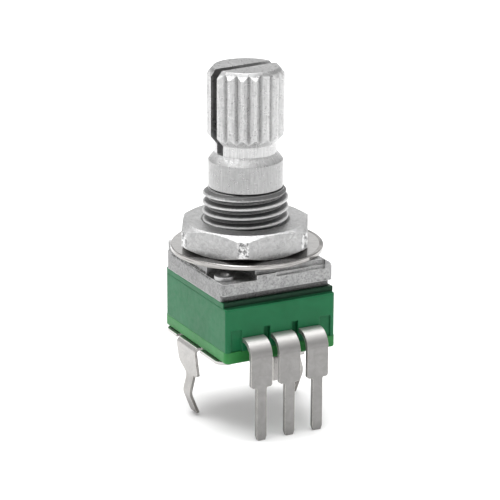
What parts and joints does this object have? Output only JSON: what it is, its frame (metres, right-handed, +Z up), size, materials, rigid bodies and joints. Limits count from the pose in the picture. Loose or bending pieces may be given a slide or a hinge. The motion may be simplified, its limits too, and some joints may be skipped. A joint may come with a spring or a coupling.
{
  "type": "rotary encoder",
  "caption": "Square-bodied rotary encoder for a circuit board, with a slotted knurled shaft, threaded bushing, hex nut, washer, flat terminals and snap-in bracket legs.",
  "frame": {"origin": "centre of the casting's panel seat, where the shaft's axis passes through its top face", "axes": "+Z up the shaft, +X to the right and +Y to the back when the three terminals face the viewer"},
  "size_m": [0.0123, 0.0138, 0.0285],
  "materials": {
    "zinc_casting": "as-cast zinc alloy, grey, slightly rough",
    "green_housing": "moulded green thermoplastic, semi-matt",
    "light_green_cover": "lighter green resin, semi-gloss",
    "tinned_steel": "tin plated spring steel, satin",
    "rivet_metal": "plated, satin",
    "tinned_terminal": "tin plated brass, satin",
    "contact_bronze": "phosphor bronze, bright",
    "spring_bronze": "phosphor bronze",
    "turned_aluminium": "turned, satin",
    "washer_polyester": "polyester film, matt",
    "clip_steel": "spring steel, oiled",
    "click_steel": "stamped steel, satin",
    "rotor_plastic": "black acetal, matt",
    "plated_code_disc": "plated brass, bright",
    "nickel_plated_washer": "nickel plated, punched edge",
    "nickel_plated_nut": "nickel plated, satin"
  },
  "bodies": {
    "root": {"bushing_casting": "zinc_casting", "housing": "green_housing", "bottom_cover": "light_green_cover", "mounting_bracket": "tinned_steel", "corner_rivets": "rivet_metal", "terminal_a": "tinned_terminal", "terminal_common": "tinned_terminal", "terminal_b": "tinned_terminal", "contact_a": "contact_bronze", "contact_common": "contact_bronze", "contact_b": "contact_bronze", "detent_spring": "spring_bronze"},
    "shaft_unit": {"shaft": "turned_aluminium", "thrust_washer": "washer_polyester", "retaining_clip": "clip_steel", "click_plate": "click_steel", "rotor": "rotor_plastic", "code_disc": "plated_code_disc"},
    "washer": {"flat_washer": "nickel_plated_washer"},
    "nut": {"hex_nut": "nickel_plated_nut"}
  },
  "joints": [
    {"name": "shaft_turn", "type": "hinge", "parent": "root", "child": "shaft_unit", "pos_m": [0, 0, 0], "axis": [0, 0, 1], "continuous": true},
    {"name": "washer_lift", "type": "slide", "parent": "root", "child": "washer", "axis": [0, 0, 1], "range_m": [0, 0.0047]},
    {"name": "nut_turn", "type": "hinge", "parent": "washer", "child": "nut", "pos_m": [0, 0, 0], "axis": [0, 0, 1], "range_deg": [0, 2256.1]}
  ],
  "couplings": [
    {"joint": "nut_turn", "follows": "washer_lift", "rad_per_m": 8377.6}
  ]
}
